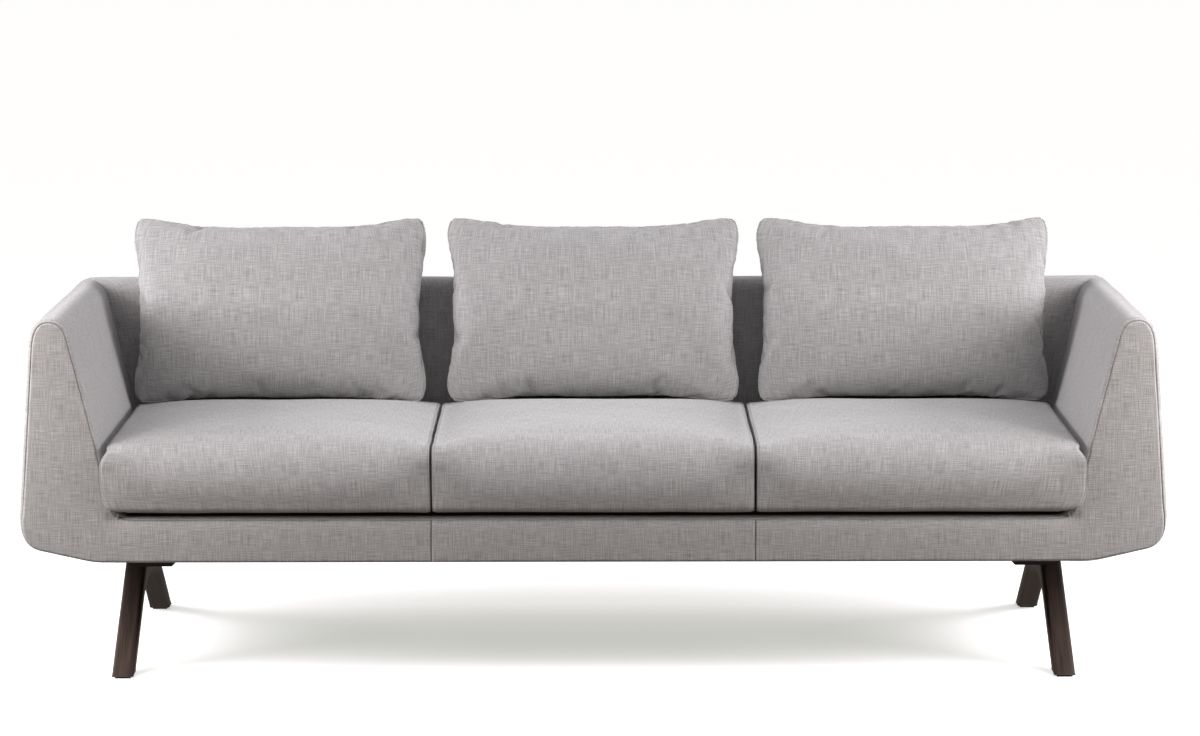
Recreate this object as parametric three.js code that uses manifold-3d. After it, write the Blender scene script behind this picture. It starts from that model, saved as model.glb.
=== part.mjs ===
// Three-seat upholstered sofa on two wooden A-frame legs.
// Units are millimetres, +Z is up, the sofa faces -Y and the origin is on the floor at its middle.
import * as THREE from 'three';
import { mergeVertices } from 'three/addons/utils/BufferGeometryUtils.js';
import Module from 'manifold-3d';

// ---- driving dimensions -------------------------------------------------------------------
const GAP = 0.3; // clearance between pieces that touch
const FINEST = 0.02; // slivers left by joins and cuts smaller than this are closed up

const SHELL = {
  halfWidth: 1112, // at the widest, low on the arms
  bottom: 225,
  railTop: 303, // top of the front rail, under the seat cushions
  armTop: 701,
  armInner: 921, // where the arm meets the base, inside
  front: -414, // behind the facing
  backFront: 290, // front of the back's base
  rear: 436,
  edgeRound: 7, // front edge of the padding
  rearRound: 22,
};
const FACING = { thickness: 11.7, inset: 7, edge: 1.5, seamX: 314 };
const BACK_LEAN = THREE.MathUtils.degToRad(5.7);
const BACK_FACE_Y = 300; // inner back at the height of the rail
const ARM_CLEARANCE = 0.8; // from the ends of the back to the sloping arms, measured across

const TIMBER = { thick: 30, low: 240, high: 296, halfLength: 1000, frontY: -402, rearY: 372 };
const SIDE_RAIL = { inner: 968, outer: 1000, low: 244, high: 292 };
const POST = {
  width: 30, depth: 48, front: -400, rear: 387, footX: 984, headX: 1048, low: 296.5, high: 640,
};
const TOP_RAIL = { inner: 1030, outer: 1066, front: -397, rear: 392, low: 640.5, high: 676 };
const BACK_TIMBER = { width: 40, front: 357, rear: 386, railFront: 354, railRear: 389 };
const ROOM_END = 8; // how far a timber's room in the padding runs on past its ends
const BATTEN = { x: 880, width: 36, low: 244, high: 290 };
const STRETCHER = { x: 314, width: 32 };
const CORNER_BLOCK = { leg: 60, low: 246, high: 290 };

const WEBBING = {
  low: 296.5, high: 298.1, strap: 50, pitch: 125, perSide: 7, halfWidth: 990,
  across: [-300, -140, 20, 180],
};
const SLOT_BELOW = 2; // the slot for the webbing also clears the tops of the beams
const DECK = { low: 299, high: 318, halfWidth: 919, front: -384.5, rear: 289.5 };
const DUST_COVER = { low: 225.3, high: 226.8, halfWidth: 920.5 };

const LEG = {
  x: 915, width: 42, foot: 3.3, bend: 105, crotch: 140, top: 193.7, round: 6,
  outerY: 446, outerSlope: 1.8, innerY: 386, innerSlope: 1.85,
};
const LEG_RAIL = { inner: 824, outer: 918, halfLength: 270, low: 194, high: 224.7, chamfer: 7 };
const BOLT = { headR: 6.5, headH: 5, shankR: 4, holeR: 4.4, boreR: 7.5, boreH: 6, top: 262 };
const BOLT_Y = [-225, -135, 135, 225];
const GLIDE = { length: 44, width: 30, height: 3 };

const SEAT = {
  low: 318.6, high: 455, crown: 9, bulge: 10, front: -438, rear: 288, round: 30,
  split: 314, gap: 1.5, outerLow: 918, outerSlant: 0.235,
};
const PILLOW = {
  width: 592, height: 372, thickness: 140, edge: 7, pinch: 0.035, rest: 226, lean: 9.5,
  bottom: 467, offset: 640,
};

// ---- materials ----------------------------------------------------------------------------
const material = (color, roughness, metalness = 0) =>
  new THREE.MeshStandardMaterial({ color, roughness, metalness });
const MATERIALS = {
  fabric: material(0xa8a5a3, 0.9),
  cushion: material(0xaaa8a7, 0.9),
  darkWood: material(0x372b28, 0.45),
  timber: material(0xc9a877, 0.75),
  webbing: material(0x2b2b2d, 0.8),
  lining: material(0x1f1f21, 0.95),
  steel: material(0x8d8f92, 0.4, 1),
  glide: material(0x26221f, 0.95),
};

// ---- solids -------------------------------------------------------------------------------
const wasm = await Module();
wasm.setup();

function toManifold(geometry) {
  const bare = geometry.clone();
  bare.deleteAttribute('normal');
  bare.deleteAttribute('uv');
  const merged = mergeVertices(bare, 1e-4);
  return new wasm.Manifold(new wasm.Mesh({
    numProp: 3,
    vertProperties: new Float32Array(merged.attributes.position.array),
    triVerts: new Uint32Array(merged.index.array),
  }));
}

function toGeometry(solid) {
  const mesh = solid.simplify(FINEST).getMesh();
  const geometry = new THREE.BufferGeometry();
  geometry.setAttribute('position', new THREE.BufferAttribute(mesh.vertProperties, 3));
  geometry.setIndex(new THREE.BufferAttribute(mesh.triVerts, 1));
  geometry.computeVertexNormals();
  return geometry;
}

const cut = (solid, cutters) => cutters.reduce((left, cutter) => left.subtract(cutter), solid);

// A box between six limits, each face moved outwards by `grow`.
function block(x0, x1, y0, y1, z0, z1, grow = 0) {
  return new THREE.BoxGeometry(x1 - x0 + 2 * grow, y1 - y0 + 2 * grow, z1 - z0 + 2 * grow)
    .translate((x0 + x1) / 2, (y0 + y1) / 2, (z0 + z1) / 2);
}

const region = (...limits) => toManifold(block(...limits));

// An outline drawn in X and Z, extruded from y0 back to y1, its ends rounded by `round`.
function alongY(points, y0, y1, { round = 0, depth = round, inset = 0, steps = 3 } = {}) {
  const shape = new THREE.Shape(points.map(([x, z]) => new THREE.Vector2(x, z)));
  const geometry = new THREE.ExtrudeGeometry(shape, {
    depth: y1 - y0 - 2 * depth,
    bevelEnabled: round > 0,
    bevelSize: round,
    bevelThickness: depth,
    bevelOffset: -round - inset,
    bevelSegments: steps,
  });
  return geometry.rotateX(Math.PI / 2).translate(0, y1 - depth, 0);
}

// An outline drawn in Y and Z, extruded across from x0 to x1, its ends rounded by `round`.
function alongX(points, x0, x1, round, steps = 3) {
  const shape = new THREE.Shape(points.map(([y, z]) => new THREE.Vector2(y, z)));
  const geometry = new THREE.ExtrudeGeometry(shape, {
    depth: x1 - x0 - 2 * round,
    bevelEnabled: round > 0,
    bevelSize: round,
    bevelThickness: round,
    bevelOffset: -round,
    bevelSegments: steps,
  });
  const axes = new THREE.Matrix4().makeBasis(
    new THREE.Vector3(0, 1, 0), new THREE.Vector3(0, 0, 1), new THREE.Vector3(1, 0, 0));
  return geometry.applyMatrix4(axes).translate(x0 + round, 0, 0);
}

const pathPoints = (path, divisions) => path.getPoints(divisions).map((p) => [p.x, p.y]);
const mirrored = (points) => points.map(([x, z]) => [-x, z]).reverse();
const leftOf = (geometry) => {
  const solid = toManifold(geometry).mirror([1, 0, 0]);
  return toGeometry(solid);
};

// ---- outlines of the shell ----------------------------------------------------------------
// Outer side of the right arm, from the middle of the underside up to the crest of the arm.
function outerArmPath() {
  const path = new THREE.Path();
  path.moveTo(SHELL.armInner, SHELL.bottom);
  path.lineTo(950, SHELL.bottom);
  path.quadraticCurveTo(970, 225.5, 990, 230);
  path.lineTo(1072, 248);
  path.quadraticCurveTo(1113, 257, SHELL.halfWidth, 315);
  path.lineTo(1091, 640);
  path.quadraticCurveTo(1088, 703, 1050, SHELL.armTop);
  return path;
}

// Inner side of the right arm, from its crest down to the top of the front rail.
function innerArmPath() {
  const path = new THREE.Path();
  path.moveTo(1050, SHELL.armTop);
  path.quadraticCurveTo(1016, 700, 1008, 655);
  path.quadraticCurveTo(972, 500, 927, 326);
  path.quadraticCurveTo(SHELL.armInner, SHELL.railTop, 896, SHELL.railTop);
  return path;
}

// The U of the two arms and the front rail between them.
function frontOutline() {
  const outer = pathPoints(outerArmPath(), 8);
  const inner = pathPoints(innerArmPath(), 8).slice(1);
  const half = [...outer, ...inner];
  return [...half, ...mirrored(half)];
}

// The whole width of the back, level with the arms along its top.
function backOutline() {
  const half = pathPoints(outerArmPath(), 8);
  return [...half, ...mirrored(half)];
}

// The space between the arms, open at the top, `clear` of each arm.
function recessOutline(clear) {
  const above = SHELL.armTop + 80;
  const inner = pathPoints(innerArmPath(), 8).slice(2).map(([x, z]) => [x - clear, z]);
  return [...inner, ...mirrored(inner), [-inner[0][0], above], [inner[0][0], above]]
    .map(([x, z]) => [x, z - SHELL.railTop]);
}

// ---- timber frame -------------------------------------------------------------------------
// Each timber can be drawn larger all round by `grow`, as the room the padding leaves for it.
// A room also runs on past the timber's ends, into the room of the timber it meets.
const betweenBeams = [TIMBER.frontY + TIMBER.thick + GAP, TIMBER.rearY - GAP];
const runOn = (grow) => (grow > 0 ? ROOM_END : 0);

function beam(y, grow) {
  const { halfLength, thick, low, high } = TIMBER;
  return block(-halfLength, halfLength, y, y + thick, low, high, grow);
}

// A rail from the front beam to the rear beam.
function frontToBack(x0, x1, low, high, grow) {
  const [front, rear] = betweenBeams;
  const end = runOn(grow);
  return block(x0, x1, front - end, rear + end, low, high, grow);
}

function sideRail(grow) {
  return frontToBack(SIDE_RAIL.inner, SIDE_RAIL.outer, SIDE_RAIL.low, SIDE_RAIL.high, grow);
}

function batten(x, width, grow) {
  return frontToBack(x - width / 2, x + width / 2, BATTEN.low, BATTEN.high, grow);
}

function cornerBlock(front, grow) {
  const [y, inward] = front ? [betweenBeams[0], 1] : [betweenBeams[1], -1];
  const { leg, low, high } = CORNER_BLOCK;
  const end = runOn(grow);
  const x = SIDE_RAIL.inner - GAP + end;
  const edge = y - inward * end;
  const side = leg + 2 * end + 3 * grow;
  const corners = [[x, edge], [x - side, edge], [x, edge + inward * side]];
  const shape = new THREE.Shape(corners.map(([px, py]) => new THREE.Vector2(px, py)));
  return new THREE.ExtrudeGeometry(shape, { depth: high - low + 2 * grow, bevelEnabled: false })
    .translate(0, 0, low - grow);
}

function armPost(y0, y1, grow) {
  const half = POST.width / 2 + 2 * grow;
  const end = runOn(grow);
  const lean = end * (POST.headX - POST.footX) / (POST.high - POST.low);
  const outline = [
    [POST.footX - half - lean, POST.low - end],
    [POST.footX + half - lean, POST.low - end],
    [POST.headX + half + lean, POST.high + end],
    [POST.headX - half + lean, POST.high + end],
  ];
  return alongY(outline, y0 - grow, y1 + grow);
}

function armTopRail(grow) {
  const { inner, outer, low, high, front, rear } = TOP_RAIL;
  return block(inner, outer, front, rear, low, high, grow);
}

function backTopRail(grow) {
  const reach = TOP_RAIL.inner - GAP + runOn(grow);
  const { railFront, railRear } = BACK_TIMBER;
  return block(-reach, reach, railFront, railRear, TOP_RAIL.low, TOP_RAIL.high, grow);
}

function backPost(x, grow) {
  const { width, front, rear } = BACK_TIMBER;
  const end = runOn(grow);
  return block(x - width / 2, x + width / 2, front, rear, POST.low - end, POST.high + end, grow);
}

const wholeTimbers = (grow = 0) => ({
  front_beam: beam(TIMBER.frontY, grow),
  rear_beam: beam(TIMBER.rearY, grow),
  back_top_rail: backTopRail(grow),
});

const sideTimbers = (grow = 0) => ({
  side_rail: sideRail(grow),
  stretcher: batten(STRETCHER.x, STRETCHER.width, grow),
  mounting_batten: batten(BATTEN.x, BATTEN.width, grow),
  corner_block_front: cornerBlock(true, grow),
  corner_block_rear: cornerBlock(false, grow),
  arm_front_post: armPost(POST.front, POST.front + POST.depth, grow),
  arm_rear_post: armPost(POST.rear - POST.depth, POST.rear, grow),
  arm_top_rail: armTopRail(grow),
  back_post: backPost(STRETCHER.x, grow),
});

// Straps both ways in one plane, stapled to the tops of the beams and side rails.
const webbingDepth = [DECK.front, TIMBER.rearY + TIMBER.thick / 2];

function seatWebbing() {
  const { low, high, strap, pitch, perSide, halfWidth, across } = WEBBING;
  const straps = [];
  for (let i = -perSide; i <= perSide; i += 1) {
    const x = i * pitch;
    straps.push(region(x - strap / 2, x + strap / 2, ...webbingDepth, low, high));
  }
  for (const y of across) {
    straps.push(region(-halfWidth, halfWidth, y - strap / 2, y + strap / 2, low, high));
  }
  return toGeometry(straps.reduce((joined, one) => joined.add(one)));
}

// Room for the timber and webbing inside the padding.
function framePockets() {
  const { low, high, halfWidth } = WEBBING;
  const pockets = [region(-halfWidth, halfWidth, ...webbingDepth, low - SLOT_BELOW, high, GAP)];
  for (const piece of Object.values(wholeTimbers(GAP))) pockets.push(toManifold(piece));
  for (const piece of Object.values(sideTimbers(GAP))) {
    const pocket = toManifold(piece);
    pockets.push(pocket, pocket.mirror([1, 0, 0]));
  }
  return pockets.reduce((joined, one) => joined.add(one));
}

// ---- legs ---------------------------------------------------------------------------------
// Distance from the middle of the sofa to a leg's outer and inner faces at height z.
const legOuter = (z) => LEG.outerY - LEG.outerSlope * z;
const legInner = (z) => LEG.innerY - LEG.innerSlope * z;

// Front and rear leg in one piece, an A seen from the side.
function legFrame() {
  const { foot, bend, crotch, top } = LEG;
  const path = new THREE.Path();
  path.moveTo(0, crotch);
  path.quadraticCurveTo(legInner(crotch), crotch, legInner(bend), bend);
  path.lineTo(legInner(foot), foot);
  path.lineTo(legOuter(foot), foot);
  path.lineTo(legOuter(top), top);
  const half = pathPoints(path, 8);
  const outline = [...half, ...mirrored(half.slice(1))];
  return alongX(outline, LEG.x - LEG.width / 2, LEG.x + LEG.width / 2, LEG.round);
}

function boltHole(y, radius, low, high) {
  return toManifold(new THREE.CylinderGeometry(radius, radius, high - low, 24)
    .rotateX(Math.PI / 2).translate(BATTEN.x, y, (low + high) / 2));
}

const boltHoles = (low, high) => BOLT_Y.map((y) => boltHole(y, BOLT.holeR, low, high));
const drilled = (geometry, top) => toGeometry(cut(toManifold(geometry), boltHoles(200, top)));

function legRail() {
  const { inner, outer, halfLength, low, high, chamfer } = LEG_RAIL;
  const outline = [
    [inner + chamfer, low], [outer - chamfer, low], [outer, low + chamfer],
    [outer, high], [inner, high], [inner, low + chamfer],
  ];
  const bores = BOLT_Y.map((y) => boltHole(y, BOLT.boreR, low - 1, low + BOLT.boreH));
  const solid = toManifold(alongY(outline, -halfLength, halfLength));
  return toGeometry(cut(solid, [...bores, ...boltHoles(low - 1, high + 1)]));
}

function bolt(y) {
  const seat = LEG_RAIL.low + BOLT.boreH - GAP;
  const profile = [
    [0, seat - BOLT.headH], [BOLT.headR, seat - BOLT.headH], [BOLT.headR, seat],
    [BOLT.shankR, seat], [BOLT.shankR, BOLT.top], [0, BOLT.top],
  ].map(([r, z]) => new THREE.Vector2(r, z));
  return new THREE.LatheGeometry(profile, 24).rotateX(Math.PI / 2).translate(BATTEN.x, y, 0);
}

function glide(front) {
  const middle = (legOuter(LEG.foot) + legInner(LEG.foot)) / 2;
  const y = front ? -middle : middle;
  return block(LEG.x - GLIDE.width / 2, LEG.x + GLIDE.width / 2,
    y - GLIDE.length / 2, y + GLIDE.length / 2, 0, GLIDE.height);
}

// ---- upholstered shell --------------------------------------------------------------------
// The whole width of the sofa from front to back, rounded along its rear edge.
function roundedBody() {
  const { front, rear, rearRound } = SHELL;
  return toManifold(alongY(backOutline(), front - 100, rear, { round: rearRound, steps: 5 }));
}

function armCover(hidden) {
  const { armInner, front, rear, edgeRound } = SHELL;
  const whole = toManifold(alongY(frontOutline(), front, rear + 40, { round: edgeRound, depth: 9 }));
  const side = region(armInner, 1200, front - 10, rear + 10, 0, 800);
  return toGeometry(cut(whole.intersect(roundedBody()).intersect(side), [hidden]));
}

function frontRailCover(hidden) {
  const { armInner, front, edgeRound } = SHELL;
  const whole = toManifold(alongY(frontOutline(), front, 0, { round: edgeRound, depth: 9 }));
  const reach = armInner - GAP;
  const middle = region(-reach, reach, front - 10, DECK.front - GAP, 0, 800);
  return toGeometry(whole.intersect(middle).subtract(hidden));
}

// The space between the two arms, all the way back.
function betweenArms() {
  const { armInner, rear, railTop } = SHELL;
  const reach = armInner - GAP;
  const base = region(-reach, reach, 0, rear + 10, 0, railTop + 1);
  const above = toManifold(alongY(recessOutline(ARM_CLEARANCE), 0, rear + 10).translate(0, 0, railTop));
  return base.add(above);
}

function backCover(hidden) {
  const { backFront, rear, armTop, railTop } = SHELL;
  const behind = region(-1200, 1200, backFront, rear + 10, 0, 800);
  const slab = roundedBody().intersect(betweenArms()).intersect(behind);
  const leaning = toManifold(block(-1200, 1200, -140, 0, 0, 500).rotateX(-BACK_LEAN)
    .translate(0, BACK_FACE_Y, railTop));
  const topEdgeY = BACK_FACE_Y + (armTop - railTop) * Math.tan(BACK_LEAN);
  const topEdge = toManifold(new THREE.BoxGeometry(2100, 20, 20).rotateX(Math.PI / 4)
    .translate(0, topEdgeY, armTop));
  return toGeometry(cut(slab, [leaning, topEdge, hidden]));
}

// The flat front panel, in three pieces sewn under the splits of the seat.
function facing(x0, x1) {
  const { thickness, inset, edge } = FACING;
  const front = SHELL.front - GAP - thickness;
  const whole = alongY(frontOutline(), front, SHELL.front - GAP, { round: edge, inset, steps: 1 });
  return toGeometry(toManifold(whole).intersect(region(x0, x1, front - 10, 0, 0, 800)));
}

function deckPad() {
  const { low, high, halfWidth, front, rear } = DECK;
  const outline = [[front, low], [rear, low], [rear, high], [front + 8, high], [front, high - 8]];
  return alongX(outline, -halfWidth, halfWidth, 0);
}

function dustCover() {
  const { low, high, halfWidth } = DUST_COVER;
  const sheet = region(-halfWidth, halfWidth, DECK.front, SHELL.backFront - GAP, low, high);
  const right = boltHoles(low - 1, high + 1);
  const left = right.map((hole) => hole.mirror([1, 0, 0]));
  return toGeometry(cut(sheet, [...right, ...left]));
}

// ---- loose cushions -----------------------------------------------------------------------
// A block with every edge rounded, on a grid with three rows of squares in each rounding.
function softBlock(half, round, cells) {
  const geometry = new THREE.BoxGeometry(1, 1, 1, ...cells);
  const position = geometry.attributes.position;
  const onAxis = (t, size, count) => {
    const edge = 0.5 - 3 / count;
    const reach = Math.abs(t);
    const inner = size - round;
    const offset = reach < edge ? inner * reach / edge : inner + round * (reach - edge) / (0.5 - edge);
    return Math.sign(t) * offset;
  };
  const point = new THREE.Vector3();
  const core = new THREE.Vector3();
  const inside = half.clone().subScalar(round);
  for (let i = 0; i < position.count; i += 1) {
    point.set(
      onAxis(position.getX(i), half.x, cells[0]),
      onAxis(position.getY(i), half.y, cells[1]),
      onAxis(position.getZ(i), half.z, cells[2]));
    core.copy(point).clamp(inside.clone().negate(), inside);
    point.sub(core).setLength(round).add(core);
    position.setXYZ(i, point.x, point.y, point.z);
  }
  return toGeometry(toManifold(geometry));
}

// A boxed seat cushion between two sides: crowned on top, bulged in front, flat underneath.
// The outer side of an end cushion leans outwards with the arm by `slant` per millimetre of rise.
function seatCushion(x0, x1, slant = 0) {
  const { low, high, crown, bulge, front, rear, round } = SEAT;
  const half = new THREE.Vector3((x1 - x0) / 2, (rear - front - bulge) / 2, (high - low) / 2);
  const geometry = softBlock(half, round, [14, 14, 8]);
  const position = geometry.attributes.position;
  for (let i = 0; i < position.count; i += 1) {
    const [u, v, w] = [
      position.getX(i) / half.x, position.getY(i) / half.y, position.getZ(i) / half.z];
    const rise = (w + 1) / 2;
    const lift = crown * rise * (1 - u ** 4) * (1 - v ** 4);
    const forward = v < 0 ? bulge * v * v * (1 - w * w) * (1 - u ** 6) : 0;
    const outward = slant * (u + 1) / 2 * rise * (high - low);
    position.setXYZ(i,
      (x0 + x1) / 2 + u * half.x + outward,
      (front + bulge + rear) / 2 + v * half.y - forward,
      (low + high) / 2 + w * half.z + lift);
  }
  return geometry;
}

// A knife-edged pillow: plump in the middle, thin at its seam, drawn in along its sides.
function pillow(x) {
  const { width, height, thickness, edge, pinch, lean, bottom, rest } = PILLOW;
  const geometry = new THREE.BoxGeometry(2, 2, 2, 16, 1, 12);
  const position = geometry.attributes.position;
  for (let i = 0; i < position.count; i += 1) {
    const [u, side, v] = [position.getX(i), position.getY(i), position.getZ(i)];
    const plump = ((1 - u ** 2) * (1 - v ** 2)) ** 0.42;
    position.setXYZ(i,
      (u * width / 2) * (1 - pinch * (1 - v ** 2)),
      side * (edge / 2 + (thickness - edge) / 2 * plump),
      (v * height / 2) * (1 - pinch * (1 - u ** 2)));
  }
  return geometry
    .translate(0, 0, height / 2)
    .rotateX(-THREE.MathUtils.degToRad(lean))
    .translate(x, rest, bottom);
}

// ---- assembly -----------------------------------------------------------------------------
const sofa = new THREE.Group();
sofa.name = 'sofa';

function add(name, geometry, slot) {
  const mesh = new THREE.Mesh(geometry, MATERIALS[slot].clone());
  mesh.name = name;
  mesh.material.name = slot;
  sofa.add(mesh);
}

function addPair(name, geometry, slot) {
  add(`${name}_left`, leftOf(geometry), slot);
  add(`${name}_right`, geometry, slot);
}

const pockets = framePockets();
addPair('arm_cover', armCover(pockets), 'fabric');
add('back_cover', backCover(pockets), 'fabric');
add('front_rail_cover', frontRailCover(pockets), 'fabric');
add('facing_centre', facing(-FACING.seamX, FACING.seamX), 'fabric');
addPair('facing', facing(FACING.seamX + GAP, 1200), 'fabric');
add('deck_pad', deckPad(), 'fabric');
add('dust_cover', dustCover(), 'lining');
add('seat_webbing', seatWebbing(), 'webbing');
for (const [name, piece] of Object.entries(wholeTimbers())) add(name, piece, 'timber');
for (const [name, piece] of Object.entries(sideTimbers())) {
  const bored = name === 'mounting_batten' ? drilled(piece, BOLT.top + 2) : piece;
  addPair(name, bored, 'timber');
}
addPair('leg_frame', legFrame(), 'darkWood');
addPair('leg_rail', legRail(), 'darkWood');
BOLT_Y.forEach((y, i) => addPair(`leg_bolt_${i + 1}`, bolt(y), 'steel'));
addPair('glide_front', glide(true), 'glide');
addPair('glide_rear', glide(false), 'glide');

const centreReach = SEAT.split - SEAT.gap;
add('seat_cushion_centre', seatCushion(-centreReach, centreReach), 'cushion');
const endSeat = seatCushion(SEAT.split + SEAT.gap, SEAT.outerLow, SEAT.outerSlant);
addPair('seat_cushion', endSeat, 'cushion');
add('back_pillow_centre', pillow(0), 'cushion');
add('back_pillow_left', pillow(-PILLOW.offset), 'cushion');
add('back_pillow_right', pillow(PILLOW.offset), 'cushion');

export default sofa;
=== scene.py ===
"""Looks of a three-seat upholstered sofa on two dark wooden A-frame legs.

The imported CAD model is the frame. Units are metres, +Z is up and the sofa faces -Y.
The covers, cushions and legs are modelled here in finer shape than the CAD solids they stand for.
"""
import math

import bmesh
import bpy
import numpy as np
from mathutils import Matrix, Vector, geometry, kdtree, noise


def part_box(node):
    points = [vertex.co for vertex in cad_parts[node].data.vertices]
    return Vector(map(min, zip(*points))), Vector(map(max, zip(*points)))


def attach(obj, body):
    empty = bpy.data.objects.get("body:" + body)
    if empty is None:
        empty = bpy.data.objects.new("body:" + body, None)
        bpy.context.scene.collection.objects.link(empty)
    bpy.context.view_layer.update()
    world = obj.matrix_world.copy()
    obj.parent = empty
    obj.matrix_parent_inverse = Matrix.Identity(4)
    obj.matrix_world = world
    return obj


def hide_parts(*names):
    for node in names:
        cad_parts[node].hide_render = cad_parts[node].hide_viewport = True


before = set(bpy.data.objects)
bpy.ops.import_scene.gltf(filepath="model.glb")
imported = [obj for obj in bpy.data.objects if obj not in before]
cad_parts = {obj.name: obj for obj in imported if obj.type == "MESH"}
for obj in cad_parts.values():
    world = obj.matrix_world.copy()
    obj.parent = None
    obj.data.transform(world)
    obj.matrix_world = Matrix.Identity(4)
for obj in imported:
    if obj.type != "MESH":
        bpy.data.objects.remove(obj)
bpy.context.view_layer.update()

MM = 0.001

# ---- driving sizes ------------------------------------------------------------------------
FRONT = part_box("facing_centre")[0].y
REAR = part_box("back_cover")[1].y
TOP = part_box("back_cover")[1].z
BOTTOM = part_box("front_rail_cover")[0].z
RAIL_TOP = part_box("front_rail_cover")[1].z
HALF_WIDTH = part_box("arm_cover_right")[1].x
BASE_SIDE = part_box("arm_cover_right")[0].x
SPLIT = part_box("facing_centre")[1].x
ARM_CREST = HALF_WIDTH - 62 * MM
SEAM_INSET = 7 * MM
COVER_FRONT = FRONT + 2.5 * MM
COVER_ROUND = 9 * MM
REAR_ROUND = 24 * MM
REAR_CORNER = 56 * MM
BACK_LEAN = math.radians(5.7)
BACK_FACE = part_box("back_cover")[0].y + 10 * MM
PILLOW_LEAN = math.radians(9.5)


# ---- curves and outlines ------------------------------------------------------------------
def bend(start, control, end, steps=14):
    """Points of a quadratic curve, without its first one."""
    a, b, c = (np.array(p, float) for p in (start, control, end))
    t = np.linspace(0, 1, steps + 1)[1:, None]
    return (1 - t) ** 2 * a + 2 * t * (1 - t) * b + t * t * c


def outline(start, *parts):
    """A path from single points, joined by straight lines, and (control, end) pairs, joined by curves."""
    points = [np.array([start], float)]
    for part in parts:
        last = points[-1][-1]
        points.append(bend(last, *part) if np.ndim(part) == 2 else np.array([part], float))
    return np.concatenate(points)


def spaced(path, spacing):
    """The path again, its points about `spacing` apart."""
    steps = np.linalg.norm(np.diff(path, axis=0), axis=1)
    length = np.concatenate([[0], np.cumsum(steps)])
    count = max(2, int(round(length[-1] / spacing)) + 1)
    at = np.linspace(0, length[-1], count)
    return np.stack([np.interp(at, length, path[:, k]) for k in range(path.shape[1])], 1)


def smooth(t):
    t = np.clip(t, 0, 1)
    return t * t * (3 - 2 * t)


def inward(ring):
    """For each point of a closed ring in a plane, the step that moves its edges in by one."""
    edge = np.roll(ring, -1, 0) - ring
    edge /= np.maximum(np.linalg.norm(edge, axis=1, keepdims=True), 1e-9)
    normal = np.stack([-edge[:, 1], edge[:, 0]], 1)
    following = np.roll(normal, 1, 0)
    area = np.sum(ring[:, 0] * np.roll(ring[:, 1], -1) - ring[:, 1] * np.roll(ring[:, 0], -1))
    both = (normal + following) / np.maximum(1 + np.sum(normal * following, 1), 0.35)[:, None]
    return both * np.sign(area)


def outer_arm():
    """Outer side of the right arm in X and Z, from under the sofa up to the crest of the arm."""
    w, t, b = HALF_WIDTH, TOP, BOTTOM
    return outline(
        (w - 0.162, b), ((w - 0.142, b + 0.0005), (w - 0.122, b + 0.005)), (w - 0.040, b + 0.023),
        ((w + 0.001, b + 0.032), (w, b + 0.090)), (w - 0.021, t - 0.061),
        ((w - 0.024, t + 0.002), (ARM_CREST, t)))


def inner_arm():
    """Inner side of the right arm, from its crest down to the front rail."""
    w, t, r = HALF_WIDTH, TOP, RAIL_TOP
    return outline(
        (ARM_CREST, t), ((w - 0.096, t - 0.001), (w - 0.104, t - 0.046)),
        ((w - 0.140, r + 0.197), (BASE_SIDE + 0.006, r + 0.023)),
        ((BASE_SIDE, r), (BASE_SIDE - 0.025, r)))


def seam_inset(z):
    """How far the front seam lies inside the silhouette: next to nothing underneath, more up the arms."""
    return 1.2 * MM + (SEAM_INSET - 1.2 * MM) * smooth((z - BOTTOM - 0.02) / 0.1)


# ---- meshes -------------------------------------------------------------------------------
def new_object(name, points, faces, uvs):
    """A mesh object. uvs holds one (u, v) in metres of cloth for each corner of each face."""
    mesh = bpy.data.meshes.new(name)
    mesh.from_pydata([tuple(p) for p in np.asarray(points, float)], [], faces)
    layer = mesh.uv_layers.new(name="cloth")
    layer.data.foreach_set("uv", np.asarray(uvs, np.float32).ravel())
    obj = bpy.data.objects.new(name, mesh)
    bpy.context.scene.collection.objects.link(obj)
    return obj


def tidy(obj, merge=1e-6):
    """Closes doubled points and turns every face outwards."""
    edit = bmesh.new()
    edit.from_mesh(obj.data)
    bmesh.ops.remove_doubles(edit, verts=edit.verts, dist=merge)
    bmesh.ops.recalc_face_normals(edit, faces=edit.faces)
    edit.to_mesh(obj.data)
    edit.free()
    obj.data.polygons.foreach_set("use_smooth", [True] * len(obj.data.polygons))
    obj.data.update()


def loft(name, rings, across, flat=None):
    """Closed rings of points joined by squares. `across` is each ring's place in the cloth. With `flat`,
    the two axes that the cloth of the end caps lies along, the ends are filled."""
    rings = np.asarray(rings, float)
    rows, count = rings.shape[:2]
    middle = rings[rows // 2]
    steps = np.linalg.norm(np.roll(middle, -1, 0) - middle, axis=1)
    along = np.concatenate([[0], np.cumsum(steps)])
    faces, uvs = [], []
    for i in range(rows - 1):
        for j in range(count):
            k = (j + 1) % count
            faces.append((i * count + j, i * count + k, (i + 1) * count + k, (i + 1) * count + j))
            uvs += [(across[i], along[j]), (across[i], along[j + 1]),
                    (across[i + 1], along[j + 1]), (across[i + 1], along[j])]
    if flat is not None:
        for i in (0, rows - 1):
            cap = rings[i][:, list(flat)]
            for face in geometry.tessellate_polygon([[Vector((*p, 0)) for p in cap]]):
                faces.append(tuple(i * count + k for k in face))
                uvs += [tuple(cap[k]) for k in face]
    obj = new_object(name, rings.reshape(-1, 3), faces, uvs)
    tidy(obj)
    return obj


def mirror(obj, name):
    """A copy on the other side of the sofa."""
    twin = obj.copy()
    twin.data = obj.data.copy()
    twin.name = name
    twin.data.name = name
    bpy.context.scene.collection.objects.link(twin)
    co = get_points(twin)
    co[:, 0] *= -1
    set_points(twin, co)
    twin.data.flip_normals()
    return twin


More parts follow.
